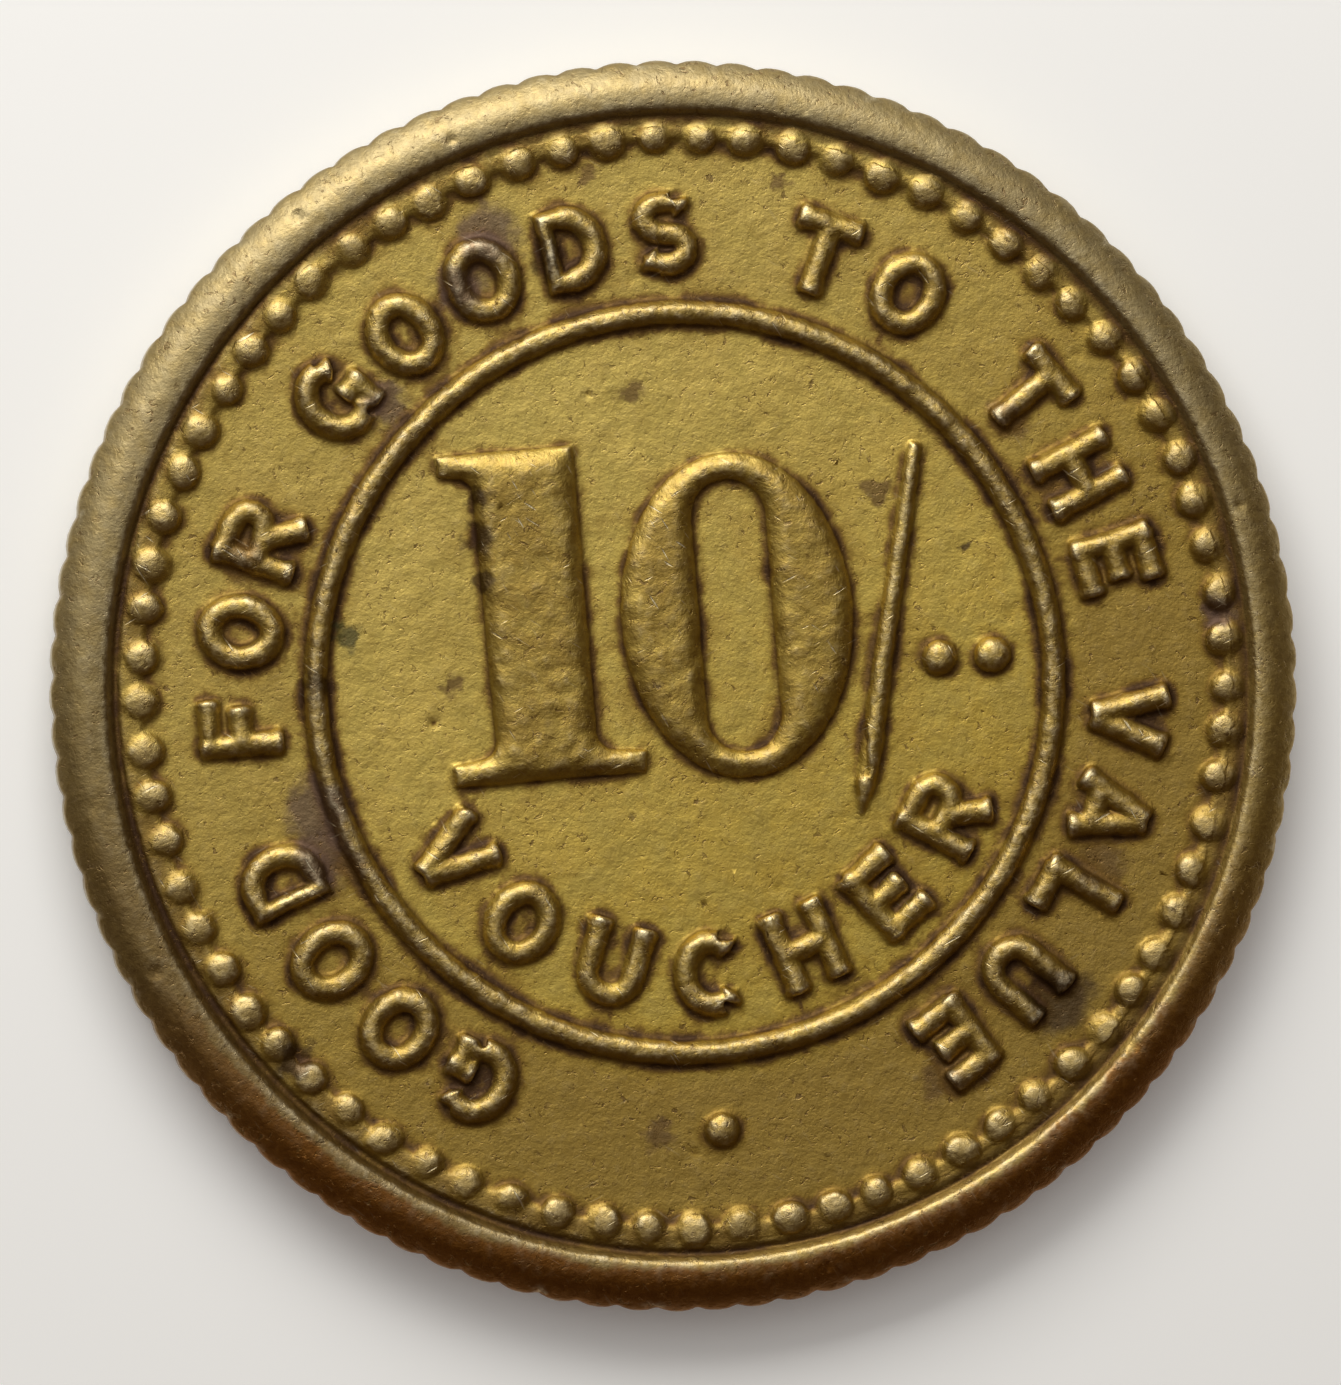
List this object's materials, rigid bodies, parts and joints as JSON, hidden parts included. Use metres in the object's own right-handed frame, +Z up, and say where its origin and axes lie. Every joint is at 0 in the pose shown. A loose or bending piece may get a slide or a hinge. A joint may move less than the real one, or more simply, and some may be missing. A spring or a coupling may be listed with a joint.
{
  "type": "brass value token",
  "caption": "Round struck brass value token with raised rims, grained edge, beaded border, ring of letters, line circle and a large numeral value in relief on both faces.",
  "frame": {"origin": "centre of the underside, in the plane of the flat land on the reverse rim", "axes": "+Z up through the obverse, square to both faces; +Y towards the top of the design; +X to the right of the design"},
  "size_m": [0.029, 0.029, 0.0019],
  "materials": {
    "worn_brass": "struck brass, worn satin on the raised parts, olive to brown toning on the field and round the foot of the relief"
  },
  "bodies": {
    "root": {"struck_disc": "worn_brass"}
  },
  "joints": []
}
